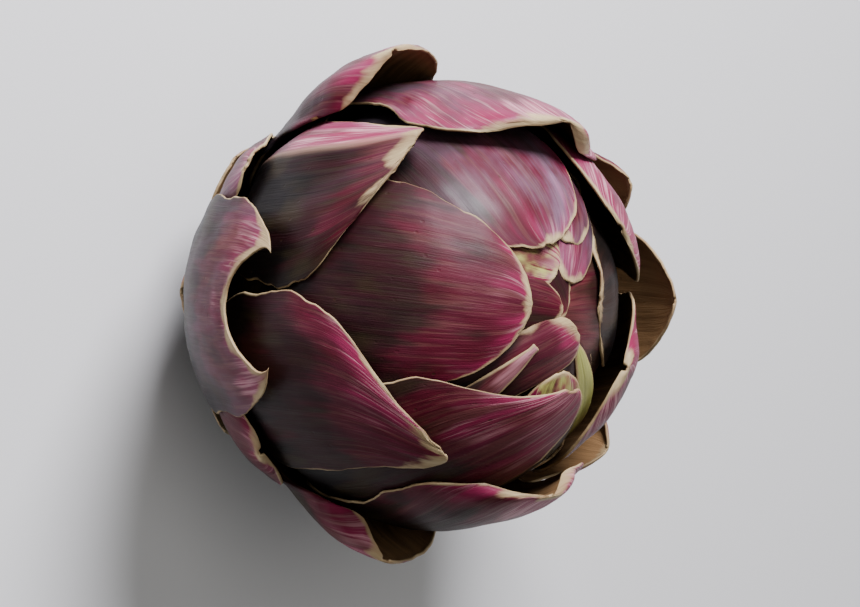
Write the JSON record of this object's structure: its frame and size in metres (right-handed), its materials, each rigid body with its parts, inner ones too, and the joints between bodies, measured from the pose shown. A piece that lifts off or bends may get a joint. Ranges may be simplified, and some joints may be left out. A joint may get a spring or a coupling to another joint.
{
  "type": "artichoke",
  "caption": "Globe artichoke head with overlapping purple bracts, the outer ones open, round a closed bud on a short cut stem.",
  "frame": {"origin": "middle of the flat cut face of the stem", "axes": "+Z along the head's axis from the cut stem to the tip, -Y towards the camera of the picture"},
  "size_m": [0.1014, 0.1014, 0.0937],
  "materials": {
    "stem": "matt pale green cut stalk",
    "bud": "satin pink and purple streaks over cream",
    "bract": "satin purple bracts with waxy bloom and pale margins"
  },
  "bodies": {
    "root": {"stem": "stem", "inner_bud": "bud", "bract_01": "bract", "bract_02": "bract", "bract_03": "bract", "bract_04": "bract", "bract_05": "bract", "bract_06": "bract", "bract_07": "bract", "bract_08": "bract", "bract_09": "bract", "bract_10": "bract", "bract_11": "bract", "bract_12": "bract", "bract_13": "bract", "bract_14": "bract", "bract_15": "bract", "bract_16": "bract", "bract_17": "bract", "bract_18": "bract", "bract_19": "bract", "bract_20": "bract", "bract_21": "bract", "bract_22": "bract", "bract_23": "bract", "bract_24": "bract", "bract_25": "bract", "bract_26": "bract", "bract_27": "bract"}
  },
  "joints": []
}
